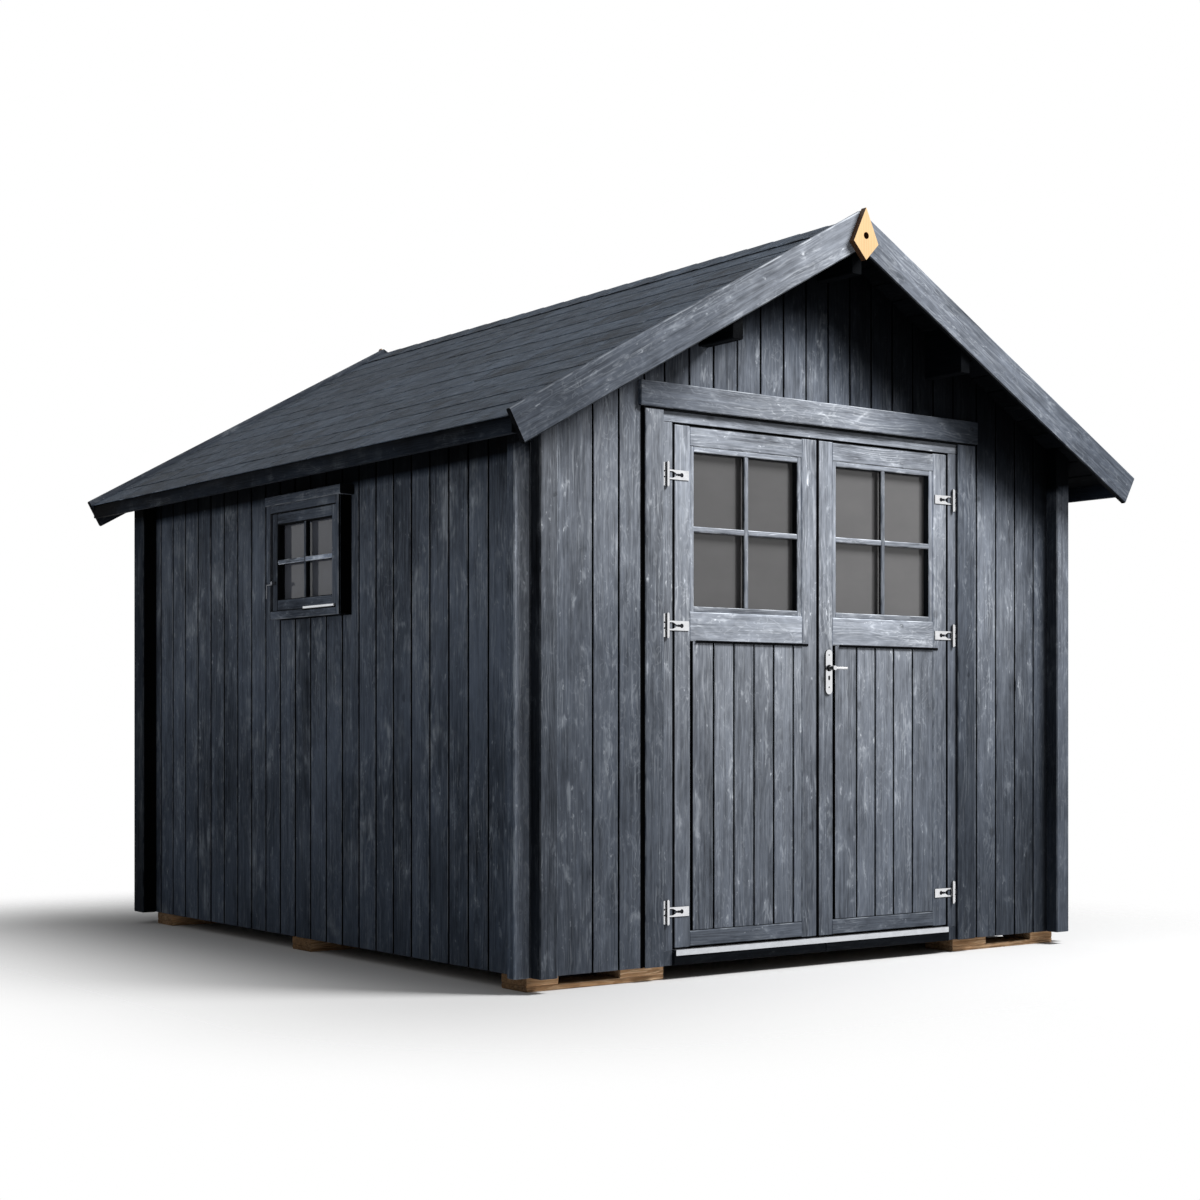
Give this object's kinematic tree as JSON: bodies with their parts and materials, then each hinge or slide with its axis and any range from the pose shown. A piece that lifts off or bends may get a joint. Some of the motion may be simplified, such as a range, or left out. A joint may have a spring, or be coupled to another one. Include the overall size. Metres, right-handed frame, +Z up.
{
  "type": "wooden garden shed",
  "caption": "Boarded timber garden shed with a shingled gable roof, glazed double doors that swing outwards on strap hinges, a lever handle and a small side window.",
  "frame": {"origin": "on the ground under the middle of the whole shed", "axes": "+X to the right seen from the front, +Y from the doors to the back wall, +Z up"},
  "size_m": [2.93, 3.291, 2.6297],
  "materials": {
    "bare_wood": "rough sawn, untreated",
    "stained_boards": "dark grey stain, worn grain",
    "stained_trim": "dark grey stain, worn grain",
    "stained_door": "dark grey stain, worn grain",
    "pale_wood": "planed, natural",
    "shingle": "mineral granules on bitumen",
    "hardware": "zinc plated",
    "threshold_metal": "mill finish",
    "pane": "smooth"
  },
  "bodies": {
    "shed": {"foot_planks": "bare_wood", "foot_blocks": "bare_wood", "floor_bearers": "bare_wood", "floor_boards": "bare_wood", "front_wall_left": "stained_boards", "front_wall_right": "stained_boards", "front_gable": "stained_boards", "left_wall": "stained_boards", "right_wall": "stained_boards", "back_wall": "stained_boards", "wall_studs": "bare_wood", "eave_plates": "bare_wood", "gable_corner_battens": "stained_trim", "side_corner_battens": "stained_trim", "purlins": "stained_trim", "roof_boards_left": "stained_trim", "roof_boards_right": "stained_trim", "shingles_left": "shingle", "shingles_right": "shingle", "verge_boards_left": "stained_trim", "verge_boards_right": "stained_trim", "eave_fascias": "stained_trim", "ridge_plates": "pale_wood", "door_jambs": "stained_trim", "door_head": "stained_trim", "door_stops": "stained_trim", "door_casings": "stained_trim", "door_header": "stained_trim", "door_sill": "stained_trim", "threshold": "threshold_metal", "hinge_plates": "hardware", "window_frame": "stained_trim", "window_sash": "stained_trim", "window_glass": "pane", "window_trim": "stained_trim"},
    "left_door": {"left_door_stiles": "stained_door", "left_door_rails": "stained_door", "left_door_panel": "stained_door", "left_door_beads": "stained_door", "left_door_glass": "pane", "left_hinge_straps": "hardware"},
    "right_door": {"right_door_stiles": "stained_door", "right_door_rails": "stained_door", "right_door_panel": "stained_door", "right_door_beads": "stained_door", "right_door_glass": "pane", "right_hinge_straps": "hardware", "handle_plates": "hardware"},
    "lever": {"door_lever": "hardware"}
  },
  "joints": [
    {"name": "left_door_hinge", "type": "hinge", "parent": "shed", "child": "left_door", "pos_m": [-0.699, -1.4278, 0.98], "axis": [0, 0, -1], "range_deg": [0, 110]},
    {"name": "right_door_hinge", "type": "hinge", "parent": "shed", "child": "right_door", "pos_m": [0.659, -1.4278, 0.98], "axis": [0, 0, 1], "range_deg": [0, 110]},
    {"name": "lever_turn", "type": "hinge", "parent": "right_door", "child": "lever", "pos_m": [0.03, -1.4215, 1.05], "axis": [0, 1, 0], "range_deg": [0, 40], "stiffness_Nm_per_rad": 1, "springref_deg": -17.19}
  ]
}
